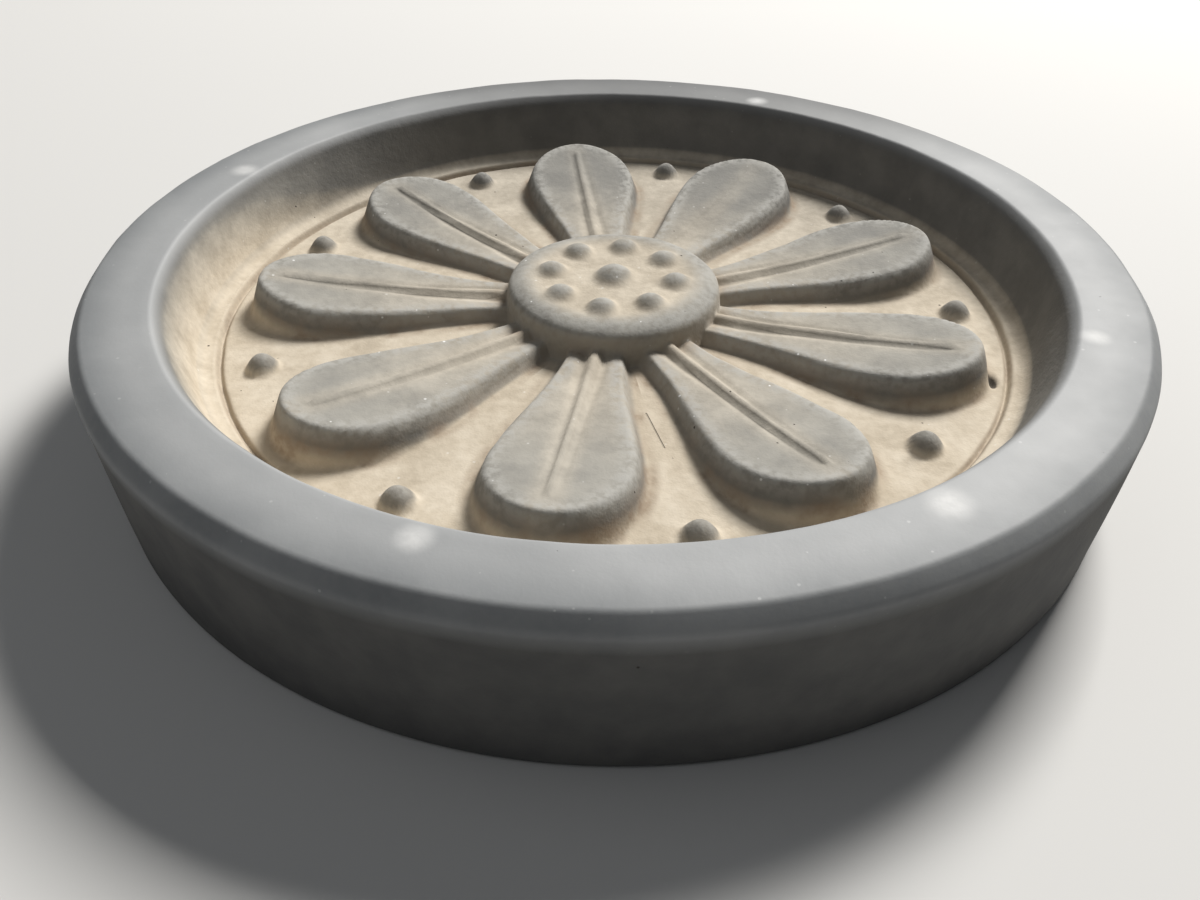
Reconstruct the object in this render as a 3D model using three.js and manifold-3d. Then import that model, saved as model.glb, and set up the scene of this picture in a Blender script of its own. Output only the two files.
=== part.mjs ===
// A round eave-end roof tile of fired clay, lying on its flat back with the carved face up.
// It is one solid: a thick disc with a raised rim around a sunk field, and on the field a lotus
// in relief, with nine ribbed petals, a bead between each two, and a round pod of seeds.
// Millimetres, +Z up, origin at the middle of the back.

import * as THREE from "three";
import { mergeVertices } from "three/addons/utils/BufferGeometryUtils.js";
import Module from "manifold-3d";

// Disc and rim
const DISC_RADIUS = 65;             // widest, just under the chamfer of the rim
const BACK_RADIUS = 64;             // the outer wall draws in a little towards the back
const BACK_CHAMFER = 0.6;
const TILE_HEIGHT = 20.4;
const RIM_OUTER_RADIUS = 63.5;      // the rim's flat top runs between these two radii
const RIM_INNER_RADIUS = 56;
const RIM_CHAMFER_DROP = 1.7;
const LIP_WIDTH = 0.9;              // softened inner edge of the rim
const LIP_DROP = 1.2;
const WALL_FOOT_RADIUS = 52.6;      // the sloping inner wall ends in a cove here
const COVE_HEIGHT = 1.8;
const COVE_WIDTH = 1;

// Sunk field, with a narrow ledge and a groove at its edge
const FIELD_HEIGHT = 10.6;
const LEDGE_STEP = 0.5;
const GROOVE_RADIUS = 50.5;
const GROOVE_WIDTH = 1;
const GROOVE_DEPTH = 0.7;

// Petals: low at the pod, rising and widening to a blunt round tip
const PETAL_COUNT = 9;
const FIRST_PETAL_ANGLE = 180;
const PETAL_STRAYS = [-0.5, 1.1, 2, 0.5, -0.2, -0.6, 0, -1.6, -0.5];  // degrees, set by eye in clay
const PETAL_ROOT = 12;              // inside the pod
const PETAL_WIDEST = 37.5;
const PETAL_TIP = 46.7;
const ROOT_HALF_WIDTH = 3.4;
const PETAL_HALF_WIDTH = 7.8;
const ROOT_RISE = 1.7;              // above the field
const TIP_RISE = 4.7;
const PETAL_DRAFT = THREE.MathUtils.degToRad(17);
const PETAL_EDGE = 0.7;             // softened edge around the top
const PETAL_STEPS = 5;
const RELIEF_SINK = 1;              // how far the petals and the pod are let into the field

// Midrib of a petal, tapering outwards
const RIB_END = 44.5;
const RIB_ROOT_HALF_WIDTH = 1.3;
const RIB_END_HALF_WIDTH = 0.4;
const RIB_RISE = 0.7;

// Beads between the petal tips
const BEAD_RING_RADIUS = 45.5;
const BEAD_RADIUS = 1.95;

// Seed pod
const POD_RADIUS = 14;
const POD_FOOT_FLARE = 0.6;
const POD_HEIGHT = 15.6;
const POD_ROUND = 2;
const SEED_COUNT = 8;
const FIRST_SEED_ANGLE = -9.4;
const SEED_RING_RADIUS = 8.25;
const SEED_RADIUS = 2;
const SEED_RISE = 1.2;
const MIDDLE_SEED_RADIUS = 2.5;
const MIDDLE_SEED_RISE = 1.5;

// Fineness of the round forms
const DISC_SEGMENTS = 108;
const POD_SEGMENTS = 54;
const DOME_SEGMENTS = 14;
const DOME_RINGS = 8;
const CURVE_STEPS = 3;
const MERGE_DISTANCE = 1e-4;

const CLAY_COLOUR = 0x85817a;

const wasm = await Module();
wasm.setup();

// Turns a closed geometry into a solid, without the triangles that have no area at poles and tips.
function solidFrom(geometry) {
  geometry.deleteAttribute("normal");
  geometry.deleteAttribute("uv");
  const merged = mergeVertices(geometry, MERGE_DISTANCE);
  const corners = merged.index.array;
  const triVerts = [];
  for (let i = 0; i < corners.length; i += 3) {
    const [a, b, c] = corners.subarray(i, i + 3);
    if (a !== b && b !== c && c !== a) {
      triVerts.push(a, b, c);
    }
  }
  return new wasm.Manifold(new wasm.Mesh({
    numProp: 3,
    vertProperties: merged.attributes.position.array,
    triVerts: Uint32Array.from(triVerts),
  }));
}

// Turns a solid back into a geometry.
function geometryFrom(solid) {
  const { vertProperties, triVerts } = solid.getMesh();
  const geometry = new THREE.BufferGeometry();
  geometry.setAttribute("position", new THREE.BufferAttribute(vertProperties, 3));
  geometry.setIndex(new THREE.BufferAttribute(triVerts, 1));
  geometry.computeVertexNormals();
  return geometry;
}

// Spins a profile of (radius, height) about the tile's vertical axis.
function spun(profile, segments) {
  return new THREE.LatheGeometry(profile.getPoints(CURVE_STEPS), segments).rotateX(Math.PI / 2);
}

// The disc: from the middle of the back out, up the wall, over the rim and in across the field.
function discGeometry() {
  const ledgeHeight = FIELD_HEIGHT + LEDGE_STEP;
  const lipRadius = RIM_INNER_RADIUS - LIP_WIDTH;
  const lipHeight = TILE_HEIGHT - LIP_DROP;
  const coveTop = ledgeHeight + COVE_HEIGHT;
  const wallSlope = (lipRadius - WALL_FOOT_RADIUS) / (lipHeight - ledgeHeight);
  const profile = new THREE.Path();
  profile.moveTo(0, 0);
  profile.lineTo(BACK_RADIUS - BACK_CHAMFER, 0);
  profile.lineTo(BACK_RADIUS, BACK_CHAMFER);
  profile.lineTo(DISC_RADIUS, TILE_HEIGHT - RIM_CHAMFER_DROP);
  profile.lineTo(RIM_OUTER_RADIUS, TILE_HEIGHT);
  profile.lineTo(RIM_INNER_RADIUS, TILE_HEIGHT);
  profile.lineTo(lipRadius, lipHeight);
  profile.lineTo(WALL_FOOT_RADIUS + wallSlope * COVE_HEIGHT, coveTop);
  profile.quadraticCurveTo(WALL_FOOT_RADIUS, ledgeHeight, WALL_FOOT_RADIUS - COVE_WIDTH, ledgeHeight);
  profile.lineTo(GROOVE_RADIUS + GROOVE_WIDTH / 2, ledgeHeight);
  profile.lineTo(GROOVE_RADIUS, FIELD_HEIGHT - GROOVE_DEPTH);
  profile.lineTo(GROOVE_RADIUS - GROOVE_WIDTH / 2, FIELD_HEIGHT);
  profile.lineTo(0, FIELD_HEIGHT);
  return spun(profile, DISC_SEGMENTS);
}

// The pod: a low drum with a rounded shoulder, its foot let into the field.
function podGeometry() {
  const shoulder = POD_HEIGHT - POD_ROUND;
  const profile = new THREE.Path();
  profile.moveTo(0, FIELD_HEIGHT - RELIEF_SINK);
  profile.lineTo(POD_RADIUS + POD_FOOT_FLARE, FIELD_HEIGHT - RELIEF_SINK);
  profile.lineTo(POD_RADIUS, shoulder);
  profile.quadraticCurveTo(POD_RADIUS, POD_HEIGHT, POD_RADIUS - 2 * POD_ROUND, POD_HEIGHT);
  profile.lineTo(0, POD_HEIGHT);
  return spun(profile, POD_SEGMENTS);
}

// A ball set so that its cap stands up from a level with the given radius and rise.
function domeGeometry(radius, rise, level) {
  const ballRadius = (radius ** 2 + rise ** 2) / (2 * rise);
  return new THREE.SphereGeometry(ballRadius, DOME_SEGMENTS, DOME_RINGS)
    .rotateX(Math.PI / 2)
    .translate(0, 0, level + rise - ballRadius);
}

// Half of a petal's outline, as points of (distance from the tile's middle, half width).
function petalOutline() {
  const flank = PETAL_WIDEST - PETAL_ROOT;
  const outline = new THREE.Path();
  outline.moveTo(PETAL_ROOT, ROOT_HALF_WIDTH);
  outline.bezierCurveTo(
    PETAL_ROOT + flank * 0.4, ROOT_HALF_WIDTH,
    PETAL_WIDEST - flank * 0.3, PETAL_HALF_WIDTH,
    PETAL_WIDEST, PETAL_HALF_WIDTH,
  );
  outline.absellipse(
    PETAL_WIDEST, 0, PETAL_TIP - PETAL_WIDEST, PETAL_HALF_WIDTH, Math.PI / 2, 0, true,
  );
  return outline.getPoints(PETAL_STEPS);
}

// Outward normal of the outline at one of its points; straight out at the root and at the tip.
function outlineNormal(outline, index) {
  if (index === 0) {
    return new THREE.Vector2(0, 1);
  }
  if (index === outline.length - 1) {
    return new THREE.Vector2(1, 0);
  }
  const along = outline[index + 1].clone().sub(outline[index - 1]);
  return new THREE.Vector2(-along.y, along.x).normalize();
}

// How far the petal's top stands above the field: it curls up towards the tip.
function petalRise(distance) {
  const along = (distance - PETAL_ROOT) / (PETAL_TIP - PETAL_ROOT);
  return THREE.MathUtils.lerp(ROOT_RISE, TIP_RISE, along * along);
}

// One ring of points around a petal, across it at a point of its outline: from the left foot up
// over the edge, the rib and the other edge to the right foot, and back under the field.
function petalRing(outline, index) {
  const edge = outline[index];
  const normal = outlineNormal(outline, index);
  const top = petalRise(edge.x);
  const drawOut = (drop) => edge.clone().addScaledVector(normal, drop * Math.tan(PETAL_DRAFT));
  const foot = drawOut(top + RELIEF_SINK);
  const shoulder = drawOut(PETAL_EDGE);
  const brow = edge.clone().addScaledVector(normal, -PETAL_EDGE);
  const ribToGo = THREE.MathUtils.clamp((RIB_END - brow.x) / (RIB_END - PETAL_ROOT), 0, 1);
  const ribTaper = THREE.MathUtils.lerp(RIB_END_HALF_WIDTH, RIB_ROOT_HALF_WIDTH, ribToGo);
  const ribHalf = ribToGo > 0 ? ribTaper : 0;
  const crest = top + RIB_RISE * Math.min(1, 4 * ribToGo);
  const side = [
    [foot.x, foot.y, -RELIEF_SINK],
    [shoulder.x, shoulder.y, top - PETAL_EDGE],
    [brow.x, brow.y, top],
    [brow.x, ribHalf, top],
  ];
  const leftSide = side.map(([x, y, z]) => new THREE.Vector3(x, y, z));
  const rightSide = side.map(([x, y, z]) => new THREE.Vector3(x, -y, z)).reverse();
  return [
    ...leftSide,
    new THREE.Vector3(brow.x, 0, crest),
    ...rightSide,
    new THREE.Vector3(foot.x, 0, -RELIEF_SINK),
  ];
}

// A petal along +X with its foot let into the field: a skin over its rings, closed flat at the
// root, where the last point of the ring lies under its middle, and running to an edge at the tip.
function petalGeometry() {
  const outline = petalOutline();
  const rings = outline.map((point, index) => petalRing(outline, index));
  const ringSize = rings[0].length;
  const indices = [];
  for (let ring = 0; ring + 1 < rings.length; ring++) {
    for (let step = 0; step < ringSize; step++) {
      const near = ring * ringSize + step;
      const nearNext = ring * ringSize + (step + 1) % ringSize;
      const far = near + ringSize;
      const farNext = nearNext + ringSize;
      indices.push(near, nearNext, far, nearNext, farNext, far);
    }
  }
  for (let step = 0; step + 2 < ringSize; step++) {
    indices.push(ringSize - 1, step + 1, step);
  }
  const geometry = new THREE.BufferGeometry().setFromPoints(rings.flat());
  geometry.setIndex(indices);
  return geometry.translate(0, 0, FIELD_HEIGHT);
}

// Angle of a petal's axis, in degrees; an index past the last petal starts a second lap.
function petalAngle(index) {
  return FIRST_PETAL_ANGLE + index * 360 / PETAL_COUNT + PETAL_STRAYS[index % PETAL_COUNT];
}

// Angle of the bead half way from a petal to the next.
function beadAngle(index) {
  return (petalAngle(index) + petalAngle(index + 1)) / 2;
}

// Carries a geometry out from the middle and around it, to an angle in degrees.
function setAround(geometry, distance, angle) {
  return geometry.translate(distance, 0, 0).rotateZ(THREE.MathUtils.degToRad(angle));
}

// All the relief that stands on the disc, each piece let into what carries it.
function reliefGeometries() {
  const pieces = [podGeometry()];
  for (let index = 0; index < PETAL_COUNT; index++) {
    pieces.push(setAround(petalGeometry(), 0, petalAngle(index)));
    const bead = domeGeometry(BEAD_RADIUS, BEAD_RADIUS, FIELD_HEIGHT);
    pieces.push(setAround(bead, BEAD_RING_RADIUS, beadAngle(index)));
  }
  for (let index = 0; index < SEED_COUNT; index++) {
    const seed = domeGeometry(SEED_RADIUS, SEED_RISE, POD_HEIGHT);
    pieces.push(setAround(seed, SEED_RING_RADIUS, FIRST_SEED_ANGLE + index * 360 / SEED_COUNT));
  }
  pieces.push(domeGeometry(MIDDLE_SEED_RADIUS, MIDDLE_SEED_RISE, POD_HEIGHT));
  return pieces;
}

// The whole tile as one body of clay.
function tileMesh() {
  let tile = solidFrom(discGeometry());
  for (const piece of reliefGeometries()) {
    tile = tile.add(solidFrom(piece));
  }
  const clay = new THREE.MeshStandardMaterial({ color: CLAY_COLOUR, roughness: 0.8, metalness: 0 });
  const mesh = new THREE.Mesh(geometryFrom(tile), clay);
  mesh.name = "roof_tile";
  return mesh;
}

const part = new THREE.Group();
part.add(tileMesh());

export default part;
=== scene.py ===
"""Looks of a round eave-end roof tile of grey fired clay, with a lotus carved in relief.

The tile is one fine mesh that stands for the solid of the same name. A lathe makes the blank
disc, Geometry Nodes raise the lotus on it and note where soil lies and where the clay is
rubbed, and a node material paints the clay from those notes. Sizes are in millimetres.
"""

import dataclasses
import logging
import math
from dataclasses import dataclass, field
from enum import Enum
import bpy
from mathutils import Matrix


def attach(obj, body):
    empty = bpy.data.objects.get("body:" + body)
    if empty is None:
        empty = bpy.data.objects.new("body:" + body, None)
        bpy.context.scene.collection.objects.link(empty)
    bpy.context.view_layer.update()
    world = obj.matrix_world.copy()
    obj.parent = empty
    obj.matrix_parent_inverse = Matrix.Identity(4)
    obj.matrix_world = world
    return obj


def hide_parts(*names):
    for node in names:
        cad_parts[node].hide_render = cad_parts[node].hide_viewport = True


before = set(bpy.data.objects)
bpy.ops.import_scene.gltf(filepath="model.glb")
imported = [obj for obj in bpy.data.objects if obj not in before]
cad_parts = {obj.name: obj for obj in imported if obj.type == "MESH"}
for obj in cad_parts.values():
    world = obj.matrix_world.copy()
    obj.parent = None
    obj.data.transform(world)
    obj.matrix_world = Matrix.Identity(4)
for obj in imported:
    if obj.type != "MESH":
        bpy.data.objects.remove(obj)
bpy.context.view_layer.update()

from types import SimpleNamespace
from typing import Sequence

import bpy
import numpy as np
from mathutils import Matrix, Vector

log = logging.getLogger("roof_tile")

MM = 0.001


class Note(Enum):
    """What the relief tree notes at every point of the tile, for the clay's finish to read.

    The depth is the distance inside the nearest petal's outline, in millimetres. The others are
    shares from 0 to 1.
    """

    SOIL = "soil"
    STAIN = "stain"
    RUBBED = "rubbed"
    DUST = "dust"
    RIM = "rim"
    FLOOR = "floor"
    PETALS = "petals"
    DEPTH = "depth"
    HOLE = "hole"


class Number:
    """A number that a node tree works out at every point, with the usual arithmetic."""

    def __init__(self, socket: bpy.types.NodeSocket) -> None:
        """Take the output socket that gives the number."""
        self.socket = socket

    def apply(self, operation: str, *others: "Number | float") -> "Number":
        """Add a math node that works on this number.

        Args:
            operation: Name of the math node's operation.
            others: The operation's further numbers.

        Returns:
            The node's result.
        """
        tree = self.socket.id_data
        node = tree.nodes.new("ShaderNodeMath")
        node.operation = operation
        for entry, value in zip(node.inputs, (self, *others)):
            feed(entry, value)
        return Number(node.outputs[0])

    def __add__(self, other: "Number | float") -> "Number":
        """Add another number."""
        return self.apply("ADD", other)

    __radd__ = __add__

    def __mul__(self, other: "Number | float") -> "Number":
        """Multiply by another number."""
        return self.apply("MULTIPLY", other)

    __rmul__ = __mul__

    def __sub__(self, other: "Number | float") -> "Number":
        """Take another number away."""
        return self.apply("SUBTRACT", other)

    def __rsub__(self, other: float) -> "Number":
        """Take this number away from a plain one."""
        return self * -1.0 + other

    def __truediv__(self, other: "Number | float") -> "Number":
        """Divide by another number."""
        return self.apply("DIVIDE", other)

    def __abs__(self) -> "Number":
        """Drop the sign."""
        return self.apply("ABSOLUTE")

    def clamped(self, low: float = 0.0, high: float = 1.0) -> "Number":
        """Keep the number between two limits."""
        return self.apply("MAXIMUM", low).apply("MINIMUM", high)

    def ramp(self, low: "Number | float", high: "Number | float") -> "Number":
        """Ease from 0 at one value of this number to 1 at another.

        Args:
            low: Value that gives 0.
            high: Value that gives 1; it may be the smaller of the two.

        Returns:
            The eased share, from 0 to 1.
        """
        tree = self.socket.id_data
        node = tree.nodes.new("ShaderNodeMapRange")
        node.interpolation_type = "SMOOTHSTEP"
        for entry, value in zip(node.inputs, (self, low, high, 0.0, 1.0)):
            feed(entry, value)
        return Number(node.outputs[0])

    def between(self, start: "Number | float", end: "Number | float") -> "Number":
        """Go from start to end as this number goes from 0 to 1."""
        return self * (end - start) + start


def feed(entry: bpy.types.NodeSocket, value: Number | float) -> None:
    """Link a number to a node's input, or set the input to a plain value.

    Args:
        entry: The node's input.
        value: The number or the plain value.
    """
    if isinstance(value, Number):
        entry.id_data.links.new(value.socket, entry)
    else:
        entry.default_value = value


def distance(across: Number, along: Number) -> Number:
    """Length of a step given by its two legs."""
    return (across * across + along * along).apply("SQRT")


def noise(place: bpy.types.NodeSocket, grain: float, seed: float, detail: float = 3.0) -> Number:
    """Add a noise texture that is steady from run to run.

    Args:
        place: Vector socket that gives the place, in millimetres.
        grain: Size of the noise's blotches, in millimetres.
        seed: Which of the many patterns to take.
        detail: How many finer layers the noise has.

    Returns:
        The noise, from 0 to 1 and about 0.5 on average.
    """
    tree = place.id_data
    node = tree.nodes.new("ShaderNodeTexNoise")
    node.noise_dimensions = "4D"
    tree.links.new(place, node.inputs["Vector"])
    node.inputs["W"].default_value = seed
    node.inputs["Scale"].default_value = 1.0 / grain
    node.inputs["Detail"].default_value = detail
    return Number(node.outputs[0])


def in_millimetres(place: bpy.types.NodeSocket) -> bpy.types.NodeSocket:
    """Turn a place in metres into one in millimetres.

    Args:
        place: Vector socket that gives the place in metres.

    Returns:
        The vector socket that gives it in millimetres.
    """
    tree = place.id_data
    node = tree.nodes.new("ShaderNodeVectorMath")
    node.operation = "SCALE"
    tree.links.new(place, node.inputs[0])
    node.inputs["Scale"].default_value = 1.0 / MM
    return node.outputs[0]


def split(place: bpy.types.NodeSocket) -> tuple[Number, Number, Number]:
    """Split a vector into its three numbers.

    Args:
        place: The vector's socket.

    Returns:
        Its three numbers.
    """
    node = place.id_data.nodes.new("ShaderNodeSeparateXYZ")
    node.id_data.links.new(place, node.inputs[0])
    return Number(node.outputs[0]), Number(node.outputs[1]), Number(node.outputs[2])


@dataclass(frozen=True)
class FacePlace:
    """A point of the carved face, as the relief tree sees it."""

    radius: Number
    angle: Number

    @classmethod
    def at(cls, x: Number, y: Number) -> "FacePlace":
        """Work out the radius and the angle of a point from its two coordinates."""
        return cls(distance(x, y), y.apply("ARCTAN2", x))

    def around(self, ring_radius: Number | float, angle: Number | float) -> Number:
        """Distance on the face from a spot.

        Args:
            ring_radius: Radius of the ring that the spot lies on.
            angle: Angle of the spot.

        Returns:
            The distance.
        """
        swing = self.angle - angle
        along = self.radius * swing.apply("COSINE")
        return distance(along - ring_radius, self.radius * swing.apply("SINE"))


def dome(reach: Number, radius: Number | float, rise: Number | float) -> Number:
    """Height of a low dome.

    Args:
        reach: Distance from the dome's middle.
        radius: Where the dome meets what it stands on.
        rise: Height of its middle.

    Returns:
        The height, below 0 outside the dome.
    """
    share = reach / radius
    return (1.0 - share * share) * rise


@dataclass(frozen=True)
class Petals:
    """The ring of petals: low at the pod, rising and widening to blunt round tips."""

    count: int = 9
    first_angle: float = 180.0
    strays: tuple[float, ...] = (-0.5, 1.1, 2.0, 0.5, -0.2, -0.6, 0.0, -1.6, -0.5)
    rib_strengths: tuple[float, ...] = (1.0, 0.9, 1.0, 1.0, 0.9, 1.0, 0.3, 0.9, 1.0)
    root: float = 12.0
    widest: float = 37.5
    tip: float = 46.7
    root_half_width: float = 3.4
    half_width: float = 7.8
    root_rise: float = 1.7
    tip_rise: float = 4.7
    draft: float = 21.0
    edge_swell: float = -0.05
    edge_softness: float = 1.4
    foot_softness: float = 1.0
    rib_end: float = 44.5
    rib_root_half_width: float = 0.9
    rib_end_half_width: float = 0.38
    rib_rise: float = 0.6
    rib_furrow: float = 0.32

    @property
    def step(self) -> float:
        """Even angle from petal to petal, in degrees."""
        return 360.0 / self.count

    def axis(self, index: int) -> float:
        """Angle of a petal's axis in degrees; an index past the last starts a second lap."""
        return self.first_angle + index * self.step + self.strays[index % self.count]

    def half_width_at(self, radius: float) -> float:
        """Half width of a petal, held at its widest towards the tip.

        Args:
            radius: Distance from the tile's axis.

        Returns:
            The half width there.
        """
        share = min(max((radius - self.root) / (self.widest - self.root), 0.0), 1.0)
        eased = share * share * (3.0 - 2.0 * share)
        return self.root_half_width + (self.half_width - self.root_half_width) * eased

    def depth_inside(self, size: SimpleNamespace, along: Number, aside: Number) -> Number:
        """Distance inside a petal's outline.

        Args:
            size: The tree's named inputs.
            along: Distance along the petal's axis.
            aside: Distance from the axis.

        Returns:
            The distance from the outline, below 0 outside it.
        """
        share = ((along - size.root) / (size.widest - size.root)).clamped()
        lag = share * (share * 0.15 + 0.85)
        flank = lag.ramp(0.0, 1.0).between(size.root_half_width, size.half_width) - aside
        length = size.tip - size.widest
        out = (along - size.widest) / length
        side = aside / size.half_width
        reach = distance(out, side)
        steepness = distance(out / length, side / size.half_width).apply("MAXIMUM", 0.001)
        tip = (1.0 - reach) * reach / steepness
        return along.apply("GREATER_THAN", size.widest).between(flank, tip)

    def rib(self, size: SimpleNamespace, along: Number, aside: Number, strength: Number) -> Number:
        """Height of the midrib over a petal's top, with a furrow on either side of it.

        Args:
            size: The tree's named inputs.
            along: Distance along the petal's axis.
            aside: Distance from the axis.
            strength: How plainly this petal's rib shows.

        Returns:
            The height, below 0 in the furrows.
        """
        to_go = ((size.rib_end - along) / (size.rib_end - size.root)).clamped()
        half = to_go.between(size.rib_end_half_width, size.rib_root_half_width)
        share = aside / half
        ridge = share.ramp(1.2, 0.2)
        furrow = share.ramp(0.7, 1.3) * share.ramp(2.8, 1.5)
        fade = to_go.ramp(0.0, 0.05) * strength
        return (ridge * size.rib_rise - furrow * to_go.between(0.3, 1.0) * size.rib_furrow) * fade

    def relief(self, size: SimpleNamespace, place: FacePlace) -> tuple[Number, Number, Number]:
        """Raise the nearest petal.

        Args:
            size: The tree's named inputs.
            place: The point on the face.

        Returns:
            The height over the field, the distance inside the petal's outline and the distance
            from its rib.
        """
        step = math.radians(self.step)
        turn = (place.angle - math.radians(self.first_angle)) / step
        nearest = turn.apply("ROUND")
        index = nearest.apply("FLOORED_MODULO", float(self.count))
        stray = chosen(index, [math.radians(stray) for stray in self.strays])
        strength = chosen(index, self.rib_strengths)
        swing = place.angle - (nearest * step + stray + math.radians(self.first_angle))
        along = place.radius * swing.apply("COSINE")
        aside = abs(place.radius * swing.apply("SINE"))
        inside = self.depth_inside(size, along, aside)
        share = ((along - size.root) / (size.tip - size.root)).clamped()
        top = (share * share).between(size.root_rise, size.tip_rise)
        crowned = top + self.rib(size, along, aside, strength)
        wall = (inside + size.edge_swell) / math.tan(math.radians(self.draft)) + top
        body = crowned.apply("SMOOTH_MIN", wall, size.edge_softness)
        return body, inside, aside


@dataclass(frozen=True)
class Beads:
    """The small round beads half way between the petals, near their tips."""

    ring_radius: float = 45.5
    radius: float = 2.15
    rise: float = 2.0
    foot_softness: float = 0.7

    def relief(self, size: SimpleNamespace, place: FacePlace, petals: Petals) -> Number:
        """Raise the nearest bead.

        Args:
            size: The tree's named inputs.
            place: The point on the face.
            petals: The petals that the beads lie between.

        Returns:
            The height over the field, below 0 outside the beads.
        """
        step = math.radians(petals.step)
        turn = (place.angle - math.radians(petals.first_angle)) / step
        before = turn.apply("FLOOR")
        index = before.apply("FLOORED_MODULO", float(petals.count))
        angles = [(petals.axis(i) + petals.axis(i + 1)) / 2.0 for i in range(petals.count)]
        evenly = [petals.first_angle + i * petals.step for i in range(petals.count)]
        shifts = [math.radians(angle - even) for angle, even in zip(angles, evenly)]
        middle = before * step + chosen(index, shifts) + math.radians(petals.first_angle)
        return dome(place.around(size.ring_radius, middle), size.radius, size.rise)


@dataclass(frozen=True)
class SeedPod:
    """The round pod in the middle, with a ring of seeds and one larger seed."""

    radius: float = 14.0
    rise: float = 5.0
    shoulder: float = 4.0
    shoulder_drop: float = 2.0
    wall_slope: float = 7.8
    dish: float = 0.25
    seed_count: int = 8
    first_seed_angle: float = -9.4
    seed_ring_radius: float = 8.25
    seed_radius: float = 2.15
    seed_rise: float = 1.25
    middle_seed_radius: float = 2.75
    middle_seed_rise: float = 1.6
    seed_foot_softness: float = 0.8

    def relief(self, size: SimpleNamespace, place: FacePlace) -> tuple[Number, Number]:
        """Raise the pod and its seeds.

        Args:
            size: The tree's named inputs.
            place: The point on the face.

        Returns:
            The height over the field, below it outside the pod, and the seeds' own height.
        """
        from_edge = ((size.radius - place.radius) / size.shoulder).clamped().apply("SQRT")
        short = 1.0 - from_edge
        wall = (place.radius - size.radius).apply("MAXIMUM", 0.0) * size.wall_slope
        dished = place.radius.ramp(11.5, 9.0) * size.dish
        body = size.rise - short * short * size.shoulder_drop - wall - dished
        step = 2.0 * math.pi / self.seed_count
        first = math.radians(self.first_seed_angle)
        nearest = ((place.angle - first) / step).apply("ROUND") * step + first
        ringed = dome(place.around(size.seed_ring_radius, nearest), size.seed_radius, size.seed_rise)
        middle = dome(place.radius, size.middle_seed_radius, size.middle_seed_rise)
        seeds = ringed.apply("MAXIMUM", middle)
        return body, seeds.apply("SMOOTH_MAX", 0.0, size.seed_foot_softness)


@dataclass(frozen=True)
class Lotus:
    """The relief at a point: its height, and how the point lies to petal, rib, seeds and bead."""

    height: Number
    inside: Number
    from_rib: Number
    seeds: Number
    bead: Number


def chosen(index: Number, values: Sequence[float]) -> Number:
    """Pick one of a few values by a whole number.

    Args:
        index: Which value to pick, from 0.
        values: The values.

    Returns:
        The value picked.
    """
    tree = index.socket.id_data
    node = tree.nodes.new("GeometryNodeIndexSwitch")
    node.data_type = "FLOAT"
    while len(node.index_switch_items) < len(values):
        node.index_switch_items.new()
    feed(node.inputs[0], index)
    for entry, value in zip(node.inputs[1:], values):
        entry.default_value = value
    return Number(node.outputs[0])


@dataclass(frozen=True)
class Mark:
    """A single mark on the tile: its place on the face, its size and how long it is for that."""

    x: float
    y: float
    radius: float
    length: float = 1.0

    def share(self, x: Number, y: Number, soft: float) -> Number:
        """How much of the mark shows at a point.

        Args:
            x: First coordinate of the point.
            y: Second coordinate of the point.
            soft: Share of the mark's radius over which its edge fades.

        Returns:
            1 in the mark and 0 outside it.
        """
        reach = distance(x - self.x, (y - self.y) / self.length)
        return reach.ramp(self.radius, self.radius * (1.0 - soft))


@dataclass(frozen=True)
class Handwork:
    """How far the clay strays from true by being worked by hand, and the pinhole left in it."""

    outline_stray: float = 0.35
    outline_grain: float = 14.0
    surface_stray: float = 0.16
    surface_grain: float = 9.0
    rim_stray: float = 0.3
    rim_grain: float = 22.0
    pinhole: Mark = Mark(45.9, -15.9, 1.0, 1.9)
    pinhole_depth: float = 0.9
    seed: float = 4.0


@dataclass(frozen=True)
class Corner:
    """A corner of the blank's profile, and how close the rings lie on the way to the next."""

    radius: float
    height: float
    rounding: float
    spacing: float


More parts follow.
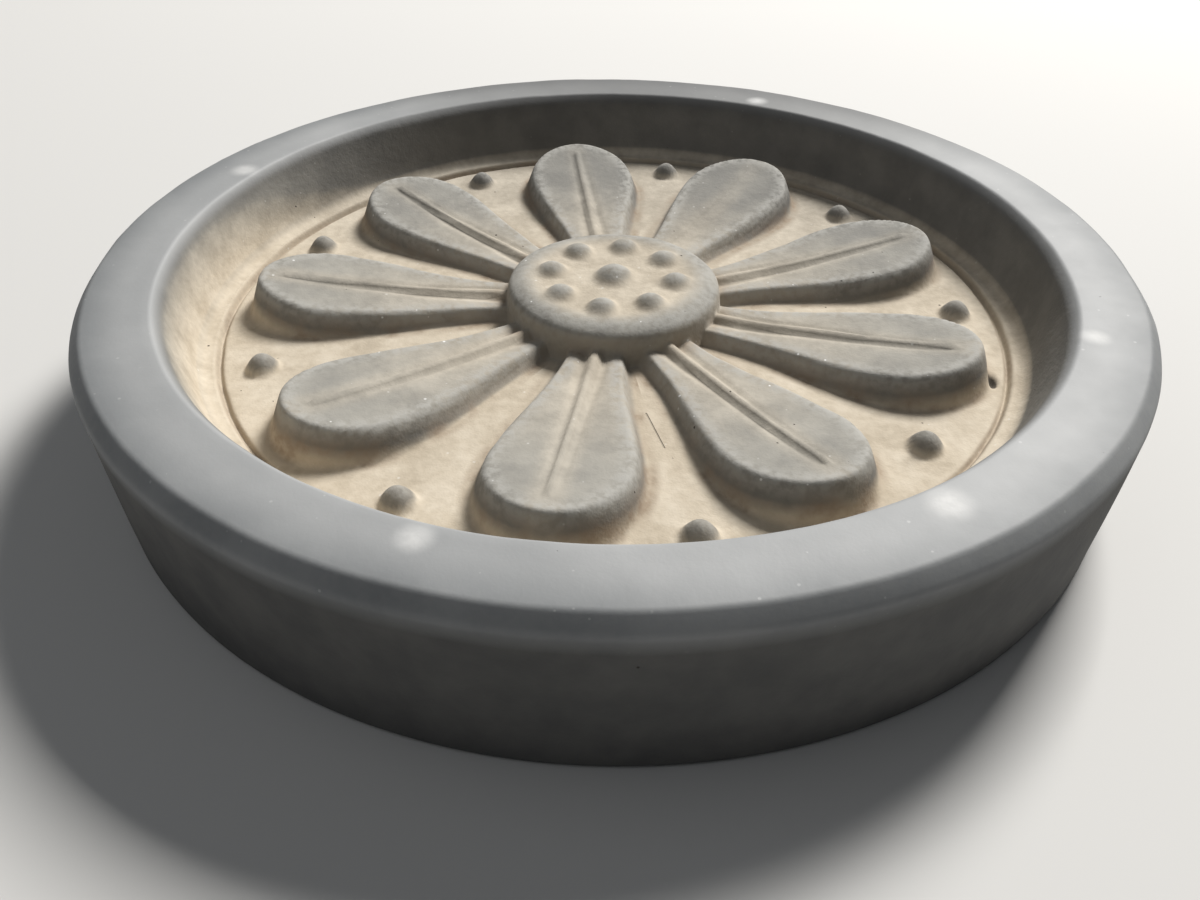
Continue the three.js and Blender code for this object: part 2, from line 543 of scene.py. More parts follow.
@dataclass(frozen=True)
class Blank:
    """The turned disc before carving: rim, sunk field, outer wall and flat back."""

    disc_radius: float = 65.0
    back_radius: float = 64.0
    height: float = 20.4
    rim_outer_radius: float = 63.5
    rim_inner_radius: float = 56.0
    rim_chamfer_drop: float = 1.7
    lip_width: float = 0.9
    lip_drop: float = 1.2
    wall_foot_radius: float = 52.6
    field_height: float = 10.6
    ledge_step: float = 0.5
    groove_radius: float = 50.5
    groove_width: float = 1.0
    groove_depth: float = 0.7
    columns_to_rib: int = 4
    columns_to_edge: int = 16
    columns_to_foot: int = 21
    columns_to_bead: int = 28
    rib_reach: float = 1.7
    foot_reach: float = 2.2
    corner_steps: int = 3

    def corners(self, petals: Petals, pod: SeedPod) -> list[Corner]:
        """List the profile's corners, from the field's middle over the rim to the back's middle.

        Args:
            petals: The petals, whose round tips need rings close together.
            pod: The pod, whose steep wall needs them closer.

        Returns:
            The corners in order.
        """
        floor = self.field_height
        ledge = floor + self.ledge_step
        half_groove = self.groove_width / 2.0
        lip_radius = self.rim_inner_radius - self.lip_width
        return [
            Corner(0.0, floor, 0.0, 0.6),
            Corner(pod.radius - 0.8, floor, 0.0, 0.13),
            Corner(pod.radius + 0.9, floor, 0.0, 0.6),
            Corner(petals.widest - 1.5, floor, 0.0, 0.25),
            Corner(self.groove_radius - half_groove, floor, 0.3, 0.2),
            Corner(self.groove_radius, floor - self.groove_depth, 0.3, 0.2),
            Corner(self.groove_radius + half_groove, ledge, 0.3, 0.4),
            Corner(self.wall_foot_radius, ledge, 1.3, 0.9),
            Corner(lip_radius, self.height - self.lip_drop, 0.4, 0.5),
            Corner(self.rim_inner_radius, self.height, 0.35, 0.8),
            Corner(self.rim_outer_radius, self.height, 0.4, 0.6),
            Corner(self.disc_radius, self.height - self.rim_chamfer_drop, 0.6, 1.6),
            Corner(self.back_radius, 0.0, 0.8, 8.0),
            Corner(0.0, 0.0, 0.0, 8.0),
        ]

    def profile(self, petals: Petals, pod: SeedPod) -> list[tuple[float, float]]:
        """Round the corners and fill in the straights.

        Args:
            petals: The petals, passed on to the list of corners.
            pod: The pod, passed on likewise.

        Returns:
            A (radius, height) for every ring, without the two poles.
        """
        corners = self.corners(petals, pod)
        rings: list[tuple[float, float]] = []
        places = [np.array((corner.radius, corner.height)) for corner in corners]
        start = places[0]
        for index in range(1, len(corners)):
            corner = corners[index]
            here = places[index]
            back = (places[index - 1] - here) / np.linalg.norm(places[index - 1] - here)
            entry = here + back * corner.rounding
            steps = max(1, round(np.linalg.norm(entry - start) / corners[index - 1].spacing))
            rings += [tuple(start + (entry - start) * step / steps) for step in range(steps)]
            if corner.rounding > 0.0:
                onward = (places[index + 1] - here) / np.linalg.norm(places[index + 1] - here)
                leave = here + onward * corner.rounding
                for step in range(self.corner_steps):
                    share = step / self.corner_steps
                    rings.append(tuple(
                        entry * (1 - share) ** 2 + here * 2 * share * (1 - share) + leave * share ** 2
                    ))
                start = leave
            else:
                start = here
        return rings[1:]

    def column_shares(self, radius: float, petals: Petals, beads: Beads) -> np.ndarray:
        """Set the columns between a petal's axis and the next bead, one of them along its edge.

        Args:
            radius: Radius of the ring.
            petals: The petals, whose ribs and edges the columns follow.
            beads: The beads, which the last columns gather on.

        Returns:
            Where each column lies, as a share of the angle from the axis to the bead.
        """
        even = np.linspace(0.0, 1.0, self.columns_to_bead + 1)[:-1]
        counted = even * self.columns_to_bead
        span = radius * math.radians(petals.step / 2.0)
        edge = petals.half_width_at(radius)
        reaches = np.array((self.rib_reach, edge, edge + self.foot_reach)) / span
        to_rib, to_edge, to_foot = np.minimum(reaches, (0.3, 0.72, 0.9))
        spread = to_foot + (1.0 - to_foot) / (self.columns_to_bead - self.columns_to_foot)
        gathered = max(1.0 - 1.25 * beads.radius / span, to_foot + 0.02)
        near_bead = np.interp(radius, (beads.ring_radius - 7.0, beads.ring_radius - 3.0), (0.0, 1.0))
        to_bead = spread + (gathered - spread) * near_bead
        stops = (
            0, self.columns_to_rib, self.columns_to_edge, self.columns_to_foot,
            self.columns_to_foot + 1, self.columns_to_bead,
        )
        followed = np.interp(counted, stops, (0.0, to_rib, to_edge, to_foot, to_bead, 1.0))
        follow = np.interp(radius, (13.0, 17.0, 50.0, 54.0), (0.0, 1.0, 1.0, 0.0))
        return even * (1.0 - follow) + followed * follow

    def ring_angles(self, radius: float, petals: Petals, beads: Beads) -> np.ndarray:
        """Angles of all the columns on one ring.

        Args:
            radius: Radius of the ring.
            petals: The petals that the columns follow.
            beads: The beads that they gather on.

        Returns:
            The angles in radians, once around.
        """
        shares = self.column_shares(radius, petals, beads)
        angles = []
        for index in range(petals.count):
            axis, following = petals.axis(index), petals.axis(index + 1)
            bead = (axis + following) / 2.0
            angles.append(axis + (bead - axis) * shares)
            angles.append(following - (following - bead) * np.append(shares[1:], 1.0)[::-1])
        return np.radians(np.concatenate(angles))

    def mesh(self, petals: Petals, beads: Beads, pod: SeedPod) -> bpy.types.Mesh:
        """Turn the profile into a closed mesh with a single point at each pole.

        Args:
            petals: The petals that the columns follow.
            beads: The beads that they gather on.
            pod: The pod that the rings gather on.

        Returns:
            The blank's mesh, in metres.
        """
        rings = self.profile(petals, pod)
        points = [(0.0, 0.0, self.field_height)]
        for radius, height in rings:
            angles = self.ring_angles(radius, petals, beads)
            points += [(radius * math.cos(a), radius * math.sin(a), height) for a in angles]
        points.append((0.0, 0.0, 0.0))
        columns = petals.count * 2 * self.columns_to_bead
        last = len(points) - 1
        faces = []
        for column in range(columns):
            beside = (column + 1) % columns
            faces.append((0, 1 + column, 1 + beside))
            faces.append((last, last - columns + beside, last - columns + column))
            for ring in range(len(rings) - 1):
                near, far = 1 + ring * columns, 1 + (ring + 1) * columns
                faces.append((near + column, far + column, far + beside, near + beside))
        mesh = bpy.data.meshes.new("roof_tile_clay")
        mesh.from_pydata([Vector(point) * MM for point in points], [], faces)
        return mesh


class ReliefTree:
    """The Geometry Nodes tree that raises the lotus on the blank and notes soil and wear."""

    def __init__(self, blank: Blank, petals: Petals, beads: Beads, pod: SeedPod, hand: Handwork) -> None:
        """Make an empty tree with a named input for every size.

        Args:
            blank: The disc under the relief.
            petals: The petals' sizes.
            beads: The beads' sizes.
            pod: The pod's sizes.
            hand: How far the handwork strays.
        """
        self.blank, self.petals, self.beads, self.pod, self.hand = blank, petals, beads, pod, hand
        self.tree = bpy.data.node_groups.new("lotus_relief", "GeometryNodeTree")
        self.tree.is_modifier = True
        self.tree.interface.new_socket("Geometry", in_out="INPUT", socket_type="NodeSocketGeometry")
        self.tree.interface.new_socket("Geometry", in_out="OUTPUT", socket_type="NodeSocketGeometry")
        self.values: dict[str, float] = {}
        groups = {"Petals": petals, "Beads": beads, "Pod": pod, "Hand": hand}
        for group, sizes in groups.items():
            self.add_inputs(group, sizes)
        self.entry = self.tree.nodes.new("NodeGroupInput")
        self.inputs = {group: self.numbers(group, sizes) for group, sizes in groups.items()}

    def add_inputs(self, group: str, sizes: Petals | Beads | SeedPod | Handwork) -> None:
        """Give the tree a named input for every plain size of a group.

        Args:
            group: The group's name, put before each size's own.
            sizes: The group's sizes.
        """
        for entry in dataclasses.fields(sizes):
            value = getattr(sizes, entry.name)
            if isinstance(value, float):
                label = f"{group} {entry.name.replace('_', ' ')}"
                socket = self.tree.interface.new_socket(label, in_out="INPUT", socket_type="NodeSocketFloat")
                socket.default_value = value
                self.values[socket.identifier] = value

    def numbers(self, group: str, sizes: Petals | Beads | SeedPod | Handwork) -> SimpleNamespace:
        """Collect a group's inputs as numbers to reckon with.

        Args:
            group: The group's name.
            sizes: The group's sizes.

        Returns:
            A namespace with one number for each size.
        """
        found = SimpleNamespace()
        for entry in dataclasses.fields(sizes):
            label = f"{group} {entry.name.replace('_', ' ')}"
            if label in self.entry.outputs:
                setattr(found, entry.name, Number(self.entry.outputs[label]))
        return found

    def strayed(self, place: bpy.types.NodeSocket, x: Number, y: Number) -> tuple[Number, Number]:
        """Shift a point a little, so that outlines waver as hand-cut ones do.

        Args:
            place: The point, in millimetres.
            x: Its first coordinate.
            y: Its second coordinate.

        Returns:
            The shifted coordinates.
        """
        hand = self.inputs["Hand"]
        first = noise(place, self.hand.outline_grain, self.hand.seed, 2.0) - 0.5
        second = noise(place, self.hand.outline_grain, self.hand.seed + 1.0, 2.0) - 0.5
        return x + first * hand.outline_stray * 2.0, y + second * hand.outline_stray * 2.0

    def build(self, material: bpy.types.Material) -> bpy.types.NodeTree:
        """Fill the tree.

        Args:
            material: The finish that the carved tile gets.

        Returns:
            The finished tree.
        """
        nodes, links = self.tree.nodes, self.tree.links
        hand = self.inputs["Hand"]
        place = in_millimetres(nodes.new("GeometryNodeInputPosition").outputs[0])
        x, y, z = split(place)
        radius = distance(x, y)
        front = z.ramp(4.0, 6.0)
        face = FacePlace.at(*self.strayed(place, x, y))

        petal, inside, from_rib = self.petals.relief(self.inputs["Petals"], face)
        bead = self.beads.relief(self.inputs["Beads"], face, self.petals)
        pod, seeds = self.pod.relief(self.inputs["Pod"], face)
        height = petal.apply("SMOOTH_MAX", 0.0, self.inputs["Petals"].foot_softness)
        height = height.apply("SMOOTH_MAX", bead, self.inputs["Beads"].foot_softness)
        height = height.apply("SMOOTH_MAX", pod, 0.8) + seeds
        field_only = radius.ramp(self.blank.groove_radius, self.blank.groove_radius - 1.0) * front
        lotus = Lotus(height * field_only, inside, from_rib, seeds, bead)

        uneven = noise(place, self.hand.surface_grain, self.hand.seed + 2.0) - 0.5
        uneven = uneven * hand.surface_stray * 2.0
        swell = noise(place, self.hand.rim_grain, self.hand.seed + 3.0, 1.0) - 0.5
        swell = swell * hand.rim_stray * 2.0
        outwards = radius.ramp(50.0, 60.0) * z.ramp(1.0, 6.0)
        hole = self.hand.pinhole.share(x, y, 0.8) * front
        lift = lotus.height + uneven * front - hole * hand.pinhole_depth
        shift = nodes.new("ShaderNodeCombineXYZ")
        feed(shift.inputs[0], x / (radius + 0.001) * swell * outwards * MM)
        feed(shift.inputs[1], y / (radius + 0.001) * swell * outwards * MM)
        feed(shift.inputs[2], lift * MM)
        notes = self.notes(radius, y.apply("ARCTAN2", x), z, front, lotus)
        notes[Note.HOLE] = hole
        geometry = self.entry.outputs[0]
        for note, amount in notes.items():
            geometry = self.stored(geometry, note, amount)
        moved = nodes.new("GeometryNodeSetPosition")
        links.new(geometry, moved.inputs["Geometry"])
        links.new(shift.outputs[0], moved.inputs["Offset"])
        realized = nodes.new("GeometryNodeRealizeInstances")
        links.new(moved.outputs[0], realized.inputs[0])
        dressed = nodes.new("GeometryNodeSetMaterial")
        links.new(realized.outputs[0], dressed.inputs["Geometry"])
        dressed.inputs["Material"].default_value = material
        links.new(dressed.outputs[0], nodes.new("NodeGroupOutput").inputs[0])
        return self.tree

    def stored(self, geometry: bpy.types.NodeSocket, note: Note, amount: Number) -> bpy.types.NodeSocket:
        """Store one note on the mesh's points.

        Args:
            geometry: The mesh so far.
            note: Which note it is.
            amount: Its value at every point.

        Returns:
            The mesh with the note.
        """
        node = self.tree.nodes.new("GeometryNodeStoreNamedAttribute")
        node.data_type = "FLOAT"
        node.domain = "POINT"
        node.inputs["Name"].default_value = note.value
        self.tree.links.new(geometry, node.inputs["Geometry"])
        feed(node.inputs["Value"], amount)
        return node.outputs[0]

    def notes(self, radius: Number, angle: Number, z: Number, front: Number,
              lotus: Lotus) -> dict[Note, Number]:
        """Work out where soil, stains and dust lie and where the clay is rubbed, all but the pinhole.

        Args:
            radius: Distance from the tile's axis.
            angle: Angle around the axis.
            z: Height of the blank there.
            front: 1 on the carved side and 0 on the back.
            lotus: The relief there.

        Returns:
            The value of each note.
        """
        blank, pod_radius = self.blank, self.pod.radius
        in_dish = radius.ramp(blank.rim_inner_radius - 0.2, blank.rim_inner_radius - 1.6) * front
        on_pod = radius.ramp(pod_radius + 0.4, pod_radius - 0.6)
        wall_height = z - blank.field_height - blank.ledge_step
        on_wall = wall_height.ramp(0.2, 1.2)
        left = (angle - math.radians(200.0)).apply("COSINE").ramp(0.4, 0.98)
        wall_soil = wall_height.ramp(left.between(2.0, 11.0), 0.0) * left.between(0.5, 1.15)
        petal_soil = radius.ramp(42.0, 14.0).between(0.14, 0.5) + lotus.from_rib.ramp(3.0, 0.8) * 0.15
        off_seeds = lotus.seeds.ramp(1.0, 0.1)
        pod_soil = radius.ramp(12.6, 8.8).between(0.15, 0.85) * off_seeds.between(0.3, 1.0)
        soil = on_wall.between(on_pod.between(petal_soil, pod_soil), wall_soil) * in_dish
        off_pod = radius.ramp(pod_radius + 0.4, pod_radius + 2.0)
        on_bead = lotus.bead.ramp(0.1, 0.9)
        floor = (1.0 - on_wall) * off_pod * (1.0 - on_bead * 0.9) * in_dish
        petals = off_pod * radius.ramp(blank.groove_radius, blank.groove_radius - 1.5) * front
        pod_foot = radius.ramp(pod_radius + 4.0, pod_radius + 0.6)
        pod_foot = pod_foot * radius.ramp(pod_radius - 0.4, pod_radius + 0.5)
        groove = abs(radius - blank.groove_radius).ramp(0.7, 0.2)
        stain = pod_foot.apply("MAXIMUM", groove * 0.8) * in_dish

        crowns = lotus.seeds.ramp(0.5, 1.2).apply("MAXIMUM", lotus.bead.ramp(0.9, 1.7) * 0.5)
        shoulder = radius.ramp(10.0, 12.0) * on_pod
        rim_edges = radius.ramp(blank.rim_outer_radius - 0.9, blank.rim_outer_radius) * z.ramp(17.5, 19.0)
        rubbed = (crowns.apply("MAXIMUM", shoulder * 0.7) * in_dish).apply("MAXIMUM", rim_edges * 0.1)

        rim = radius.ramp(blank.rim_inner_radius - 1.2, blank.rim_inner_radius) * z.ramp(17.2, 18.9)
        dust = in_dish * on_wall.between(1.0 - on_bead * 0.45, left.between(0.55, 0.9))
        return {
            Note.SOIL: soil, Note.STAIN: stain, Note.RUBBED: rubbed, Note.DUST: dust, Note.RIM: rim,
            Note.FLOOR: floor, Note.PETALS: petals, Note.DEPTH: lotus.inside,
        }


class Paint:
    """Colour mixing in a material's node tree."""

    def __init__(self, tree: bpy.types.NodeTree) -> None:
        """Take the material's tree."""
        self.tree = tree

    def mixed(self, share: Number, under: "bpy.types.NodeSocket | Sequence[float]",
              over: "bpy.types.NodeSocket | Sequence[float]") -> bpy.types.NodeSocket:
        """Lay one colour over another.

        Args:
            share: How much of the upper colour shows.
            under: The lower colour, as a socket or as three values.
            over: The upper colour.

        Returns:
            The mixed colour.
        """
        node = self.tree.nodes.new("ShaderNodeMix")
        node.data_type = "RGBA"
        feed(node.inputs[0], share)
        for entry, colour in zip((node.inputs[6], node.inputs[7]), (under, over)):
            if isinstance(colour, bpy.types.NodeSocket):
                self.tree.links.new(colour, entry)
            else:
                entry.default_value = (*colour, 1.0)
        return node.outputs[2]

    def note(self, note: Note) -> Number:
        """Read one of the relief tree's notes.

        Args:
            note: Which note to read.

        Returns:
            Its value.
        """
        node = self.tree.nodes.new("ShaderNodeAttribute")
        node.attribute_name = note.value
        return Number(node.outputs["Fac"])

    def specks(self, place: bpy.types.NodeSocket, cell: float, size: float, share: float) -> Number:
        """Scatter small round specks.

        Args:
            place: The place, in millimetres.
            cell: Size of the cell that may hold one speck, in millimetres.
            size: A speck's radius as a share of the cell.
            share: How many of the cells hold one.

        Returns:
            1 in a speck and 0 elsewhere.
        """
        node = self.tree.nodes.new("ShaderNodeTexVoronoi")
        self.tree.links.new(place, node.inputs["Vector"])
        node.inputs["Scale"].default_value = 1.0 / cell
        picked, extent, _ = split(node.outputs["Color"])
        reach = Number(node.outputs["Distance"]) / (extent * 0.7 + 0.3)
        return reach.ramp(size, size * 0.5) * picked.apply("LESS_THAN", share)


@dataclass(frozen=True)
class Surface:
    """What shows on the clay at a point: deposits, wear, marks, painted shade, and noises from coarse to
    fine.
    """

    soil: Number
    stain: Number
    rubbed: Number
    dust: Number
    rim: Number
    scuffed: Number
    pits: Number
    scratch: Number
    hole: Number
    mica: Number
    radius: Number
    to_far_shade: Number
    cloudy: Number
    mottled: Number
    gritty: Number
    grain: Number


@dataclass(frozen=True)
class FiredClay:
    """Grey fired clay: rubbed smooth on the rim, matt and soiled in the recesses.

    The far side is painted darker and greyer, with less soil and dust and a darker rim: painted shade. The
    direction of that side is given as a step of length 1.
    """

    dark_clay: tuple[float, float, float] = (0.092, 0.092, 0.090)
    pale_clay: tuple[float, float, float] = (0.130, 0.128, 0.122)
    dust: tuple[float, float, float] = (0.265, 0.257, 0.234)
    pale_dust: tuple[float, float, float] = (0.330, 0.320, 0.290)
    rim_dark: tuple[float, float, float] = (0.205, 0.214, 0.220)
    rim_pale: tuple[float, float, float] = (0.390, 0.396, 0.397)
    rubbed_clay: tuple[float, float, float] = (0.41, 0.402, 0.375)
    soil: tuple[float, float, float] = (0.47, 0.400, 0.303)
    pale_soil: tuple[float, float, float] = (0.645, 0.575, 0.468)
    stain: tuple[float, float, float] = (0.19, 0.125, 0.075)
    speck: tuple[float, float, float] = (0.05, 0.042, 0.035)
    # Mica specks: real flakes, painted near white as a glint that shows under any light.
    mica: tuple[float, float, float] = (0.85, 0.85, 0.83)
    scuff: tuple[float, float, float] = (0.62, 0.62, 0.61)
    # Pale round spots on the rim.
    scuffs: tuple[Mark, ...] = (
        Mark(23.8, 53.1, 2.3), Mark(-53.8, 21.1, 2.6), Mark(-16.5, -55.6, 2.4), Mark(53.4, -21.5, 2.2),
        Mark(30.1, -50.0, 3.0),
    )
    scratch: tuple[Mark, Mark] = (Mark(4.0, -23.8, 0.09), Mark(5.9, -30.2, 0.09))
    # The far side's painted shade: its direction, and how far it reaches in millimetres.
    cleaner_side: tuple[float, float] = (0.17, 0.98)
    far_shade_reach: float = 65.0
    rim_dark_radius: float = 63.8
    rim_pale_radius: float = 58.5
    gloss: float = 0.35

    def scratched(self, x: Number, y: Number) -> Number:
        """How much of the hairline scratch shows at a point.

        Args:
            x: First coordinate of the point.
            y: Second coordinate of the point.

        Returns:
            1 in the scratch and 0 outside it.
        """
        start, end = self.scratch
        run = Vector((end.x - start.x, end.y - start.y))
        across = ((x - start.x) * run.x + (y - start.y) * run.y) / run.length_squared
        share = across.clamped()
        gap = distance(x - (share * run.x + start.x), y - (share * run.y + start.y))
        return gap.ramp(start.radius * 1.6, start.radius * 0.5)

    def scuffed(self, x: Number, y: Number) -> Number:
        """How much of the nearest pale spot on the rim shows at a point.

        Args:
            x: First coordinate of the point.
            y: Second coordinate of the point.

        Returns:
            1 in the middle of a spot and 0 outside them all.
        """
        found = self.scuffs[0].share(x, y, 0.9)
        for mark in self.scuffs[1:]:
            found = found.apply("MAXIMUM", mark.share(x, y, 0.9))
        return found

    def surface(self, paint: Paint, place: bpy.types.NodeSocket) -> Surface:
        """Read the notes and work out what shows on the clay.

        Args:
            paint: The material's tree.
            place: The place, in millimetres.

        Returns:
            The surface there.
        """
        x, y, _ = split(place)
        soil, stain, rubbed, dust, rim, floor, petals, depth, hole = (paint.note(note) for note in Note)
        cloudy = noise(place, 16.0, 1.0, 4.0)
        mottled = noise(place, 4.5, 2.0, 5.0)
        gritty = noise(place, 0.9, 3.0, 4.0)
        grain = noise(place, 0.28, 4.0, 2.0)
        patchy = gritty.ramp(0.3, 0.7)

        # Painted shade: the petal sides keep less dust, so they are painted darker than the tops.
        shaded_sides = depth.ramp(-2.8, -1.4) * depth.ramp(0.2, -0.9) * petals
        foot = depth.ramp(-3.0, -1.6) * depth.ramp(0.0, -1.2) * petals
        edge = depth.ramp(-0.9, 0.3) * depth.ramp(2.6, 0.6) * petals
        # Painted shade: soil and dust thin out towards the far side, so that side is painted darker and
        # greyer.
        toward_far_shade = (x * self.cleaner_side[0] + y * self.cleaner_side[1]) / self.far_shade_reach
        far_shade = toward_far_shade.ramp(0.0, 0.6)
        soil = (floor * depth.ramp(-0.7, -1.5)).between(soil, 1.0) * (1.0 - far_shade * 0.4)
        uneven_soil = (soil + (mottled - 0.5) * 0.4 + (gritty - 0.5) * 0.2) * soil.ramp(0.02, 0.3)
        stain = stain.apply("MAXIMUM", foot) * mottled.ramp(0.38, 0.62) * (patchy * 0.5 + 0.5)
        rubbed = rubbed.apply("MAXIMUM", edge)
        dust = dust * (1.0 - shaded_sides * 0.65) * (1.0 - far_shade * 0.35)
        bare = dust.apply("MAXIMUM", rim * 0.5)
        return Surface(
            soil=uneven_soil.clamped(), stain=stain, rubbed=rubbed, dust=dust, rim=rim,
            scuffed=self.scuffed(x, y) * rim * (patchy * 0.25 + 0.7),
            pits=paint.specks(place, 2.2, 0.10, 0.16) * rim.between(1.0, 0.25),
            scratch=self.scratched(x, y) * soil.ramp(0.2, 0.5), hole=hole,
            # Mica specks: real flakes with a painted glint.
            mica=paint.specks(place, 1.5, 0.16, 0.3) * (rubbed * 0.7 + 0.3) * bare,
            radius=distance(x, y), to_far_shade=toward_far_shade,
            cloudy=cloudy, mottled=mottled, gritty=gritty, grain=grain,
        )

    def colour(self, paint: Paint, on: Surface) -> bpy.types.NodeSocket:
        """Paint the clay, and on it dust, soil, stains, rubbed places and marks, with painted shade on the
        far side, on the petal sides and in the pinhole, and mica specks painted as glints.

        Args:
            paint: The material's tree.
            on: What shows on the clay.

        Returns:
            The colour.
        """
        body = paint.mixed(on.mottled.ramp(0.25, 0.75), self.dark_clay, self.pale_clay)
        powdery = paint.mixed(on.mottled.ramp(0.3, 0.7), self.dust, self.pale_dust)
        body = paint.mixed((on.dust * (on.gritty * 0.4 + 0.8)).clamped(), body, powdery)
        inwards = on.radius.ramp(self.rim_dark_radius, self.rim_pale_radius)
        paler = on.cloudy.ramp(0.3, 0.7) * 0.4 + inwards * 0.6
        smooth = paint.mixed(paler, self.rim_dark, self.rim_pale)
        # Painted shade: the rim is painted darker towards the far side.
        smooth = paint.mixed(on.to_far_shade.ramp(0.5, 0.9) * 0.6, smooth, self.dark_clay)
        body = paint.mixed(on.rim, body, smooth)
        blotches = on.mottled.ramp(0.28, 0.72) * 0.7 + on.gritty.ramp(0.3, 0.7) * 0.3
        earth = paint.mixed(blotches, self.soil, self.pale_soil)
        colour = paint.mixed(on.soil, body, earth)
        colour = paint.mixed(on.stain * 0.7, colour, self.stain)
        colour = paint.mixed(on.rubbed * on.gritty.ramp(0.35, 0.6) * 0.7, colour, self.rubbed_clay)
        # Pale round spots on the rim.
        colour = paint.mixed(on.scuffed, colour, self.scuff)
        # Painted shade: the pinhole is painted near black over its shallow dent. Pits and the scratch are
        # painted dark as marks.
        dark_marks_and_pit_shade = on.pits.apply("MAXIMUM", on.hole.ramp(0.1, 0.5)).apply("MAXIMUM", on.scratch * 0.4)
        colour = paint.mixed(dark_marks_and_pit_shade * 0.85, colour, self.speck)
        return paint.mixed(on.mica, colour, self.mica)

    def roughness(self, on: Surface) -> Number:
        """How matt the clay is."""
        matt = on.rim.between(0.84, 0.6) + on.soil * 0.12 + (on.mottled - 0.5) * 0.15 - on.mica * 0.4
        return matt.clamped(0.2, 1.0)

    def fine_relief(self, on: Surface) -> Number:
        """Height of the clay's grain and of its finest marks.

        Args:
            on: What shows on the clay.

        Returns:
            The height, in millimetres.
        """
        grain = (on.grain - 0.5) * on.rim.between(0.035, 0.01)
        grit = (on.gritty - 0.5) * on.rim.between(0.07, 0.02)
        return grain + grit - on.pits * 0.16 - on.scratch * 0.12

    def material(self) -> bpy.types.Material:
        """Build the clay's node material.

        Returns:
            The material.
        """
        material = bpy.data.materials.new("fired_clay")
        material.use_nodes = True
        tree = material.node_tree
        paint = Paint(tree)
        shader = tree.nodes["Principled BSDF"]
        place = in_millimetres(tree.nodes.new("ShaderNodeTexCoord").outputs["Object"])
        on = self.surface(paint, place)
        tree.links.new(self.colour(paint, on), shader.inputs["Base Color"])
        feed(shader.inputs["Roughness"], self.roughness(on))
        shader.inputs["Specular IOR Level"].default_value = self.gloss
        bump = tree.nodes.new("ShaderNodeBump")
        bump.inputs["Strength"].default_value = 1.0
        bump.inputs["Distance"].default_value = MM
        feed(bump.inputs["Height"], self.fine_relief(on))
        tree.links.new(bump.outputs[0], shader.inputs["Normal"])
        return material


@dataclass
class RoofTile:
    """The whole tile: the blank, the lotus on it and the clay's finish."""

    blank: Blank = field(default_factory=Blank)
    petals: Petals = field(default_factory=Petals)
    beads: Beads = field(default_factory=Beads)
    pod: SeedPod = field(default_factory=SeedPod)
    hand: Handwork = field(default_factory=Handwork)
    finish: FiredClay = field(default_factory=FiredClay)

    def build(self) -> bpy.types.Object:
        """Carve the blank and keep the result as a plain mesh.

        Returns:
            The tile's object.
        """
        rough = bpy.data.objects.new("blank", self.blank.mesh(self.petals, self.beads, self.pod))
        bpy.context.scene.collection.objects.link(rough)
        relief = ReliefTree(self.blank, self.petals, self.beads, self.pod, self.hand)
        carving = rough.modifiers.new("lotus", "NODES")
        carving.node_group = relief.build(self.finish.material())
        for identifier, value in relief.values.items():
            carving[identifier] = value
        graph = bpy.context.evaluated_depsgraph_get()
        carved = bpy.data.meshes.new_from_object(rough.evaluated_get(graph))
        carved.name = "roof_tile_clay"
        bpy.data.objects.remove(rough)
        carved.shade_smooth()
        tile = bpy.data.objects.new("roof_tile_clay", carved)
        bpy.context.scene.collection.objects.link(tile)
        return tile

    def dress(self, tile: bpy.types.Object) -> None:
        """Set the tile in the frame in place of its solid.

        Args:
            tile: The tile's object.
        """
        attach(tile, "root")
        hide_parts("roof_tile")


@dataclass(frozen=True)
class Lamp:
    """A soft square light that faces the tile.

    The azimuth runs in degrees from +X towards +Y, the elevation from the floor up. The power is
    in watts.
    """

    name: str
    azimuth: float
    elevation: float
    away: float
    width: float
    power: float
    colour: tuple[float, float, float]

    def hang(self) -> bpy.types.Object:
        """Hang the light.

        Returns:
            The light.
        """
        data = bpy.data.lights.new(self.name, "AREA")
        data.size = self.width * MM
        data.energy = self.power
        data.color = self.colour
        turn, lift = math.radians(self.azimuth), math.radians(self.elevation)
        way = Vector((math.cos(lift) * math.cos(turn), math.cos(lift) * math.sin(turn), math.sin(lift)))
        light = bpy.data.objects.new(self.name, data)
        facing = (-way).to_track_quat("-Z", "Y").to_matrix().to_4x4()
        light.matrix_world = Matrix.Translation(way * self.away * MM) @ facing
        bpy.context.scene.collection.objects.link(light)
        return light


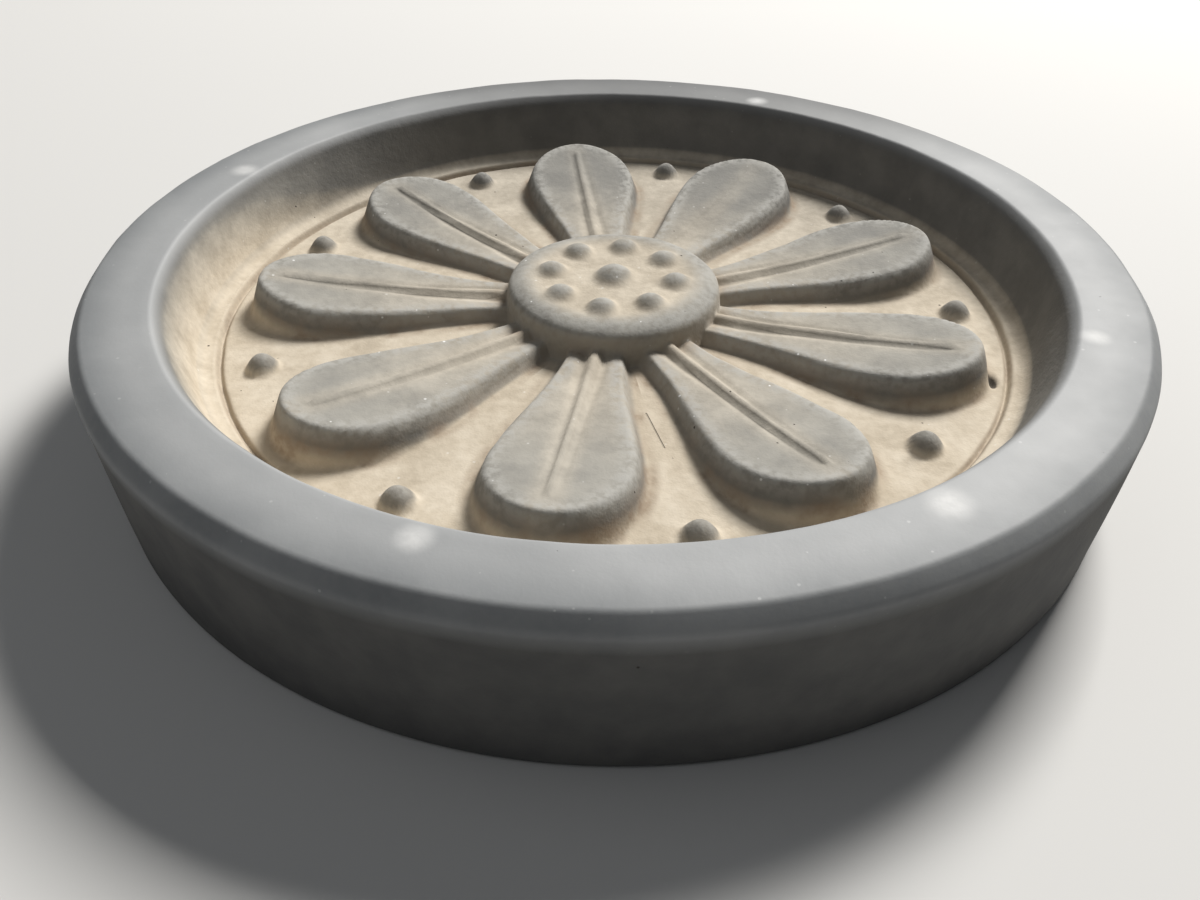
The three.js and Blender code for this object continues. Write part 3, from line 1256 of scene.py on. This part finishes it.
@dataclass(frozen=True)
class Studio:
    """A pale floor, soft lights and the camera of the photograph."""

    image_width: int = 1200
    image_height: int = 900
    focal_pixels: float = 1003.36
    rim_middle_pixel: tuple[float, float] = (614.2, 241.48)
    rim_height: float = 20.4
    eye_distance: float = 131.26
    eye_elevation: float = 26.45
    roll: float = 0.90
    sensor_width: float = 36.0
    floor_radius: float = 4000.0
    floor_colour: tuple[float, float, float] = (0.64, 0.635, 0.62)
    floor_corners: int = 64
    lamps: tuple[Lamp, ...] = (
        Lamp("key", 56.0, 44.0, 1600.0, 450.0, 40.5, (1.0, 0.98, 0.95)),
        Lamp("fill", 200.0, 60.0, 900.0, 900.0, 0.9, (0.96, 0.98, 1.0)),
    )
    air_colour: tuple[float, float, float] = (0.9, 0.94, 1.0)
    air_strength: float = 0.09

    def camera(self) -> bpy.types.Object:
        """Place the camera so that the rim's middle falls where the photograph has it.

        Returns:
            The camera.
        """
        data = bpy.data.cameras.new("camera")
        data.sensor_width = self.sensor_width
        data.lens = self.sensor_width * self.focal_pixels / self.image_width
        data.clip_start = 0.005
        elevation = math.radians(self.eye_elevation)
        target = Vector((0.0, 0.0, self.rim_height))
        eye = target + Vector((0.0, -math.cos(elevation), math.sin(elevation))) * self.eye_distance
        forward = (target - eye).normalized()
        level = Vector((1.0, 0.0, 0.0))
        upright = level.cross(forward)
        roll = math.radians(self.roll)
        right = level * math.cos(roll) + upright * math.sin(roll)
        up = upright * math.cos(roll) - level * math.sin(roll)
        aside = (self.rim_middle_pixel[0] - self.image_width / 2.0) / self.focal_pixels
        below = (self.rim_middle_pixel[1] - self.image_height / 2.0) / self.focal_pixels
        turn = Vector((0.0, 0.0, 1.0)).rotation_difference(Vector((aside, -below, 1.0))).to_matrix()
        axes = turn @ Matrix((right, up, forward))
        camera = bpy.data.objects.new("camera", data)
        turned = Matrix((axes[0], axes[1], -axes[2])).transposed().to_4x4()
        camera.matrix_world = Matrix.Translation(eye * MM) @ turned
        bpy.context.scene.collection.objects.link(camera)
        bpy.context.scene.camera = camera
        return camera

    def floor(self) -> bpy.types.Object:
        """Lay the floor.

        Returns:
            The floor.
        """
        corners = self.floor_corners
        rim = [2.0 * math.pi * step / corners for step in range(corners)]
        points = [Vector((math.cos(a), math.sin(a), 0.0)) * self.floor_radius * MM for a in rim]
        mesh = bpy.data.meshes.new("floor")
        mesh.from_pydata(points, [], [tuple(range(corners))])
        material = bpy.data.materials.new("floor")
        material.use_nodes = True
        shader = material.node_tree.nodes["Principled BSDF"]
        shader.inputs["Base Color"].default_value = (*self.floor_colour, 1.0)
        shader.inputs["Roughness"].default_value = 0.9
        mesh.materials.append(material)
        floor = bpy.data.objects.new("floor", mesh)
        bpy.context.scene.collection.objects.link(floor)
        return floor

    def build(self) -> None:
        """Set up the camera, the floor, the lights and the air around them."""
        self.camera()
        self.floor()
        for lamp in self.lamps:
            lamp.hang()
        world = bpy.data.worlds.new("studio")
        world.use_nodes = True
        air = world.node_tree.nodes["Background"]
        air.inputs["Color"].default_value = (*self.air_colour, 1.0)
        air.inputs["Strength"].default_value = self.air_strength
        bpy.context.scene.world = world
        bpy.context.scene.view_settings.view_transform = "Standard"


def main() -> None:
    """Build the studio and the tile."""
    logging.basicConfig(level=logging.INFO, format="%(name)s: %(message)s")
    Studio().build()
    roof_tile = RoofTile()
    tile = roof_tile.build()
    roof_tile.dress(tile)
    triangles = sum(len(face.vertices) - 2 for face in tile.data.polygons)
    log.info("%s: %d triangles", tile.name, triangles)


if __name__ == "__main__":
    main()
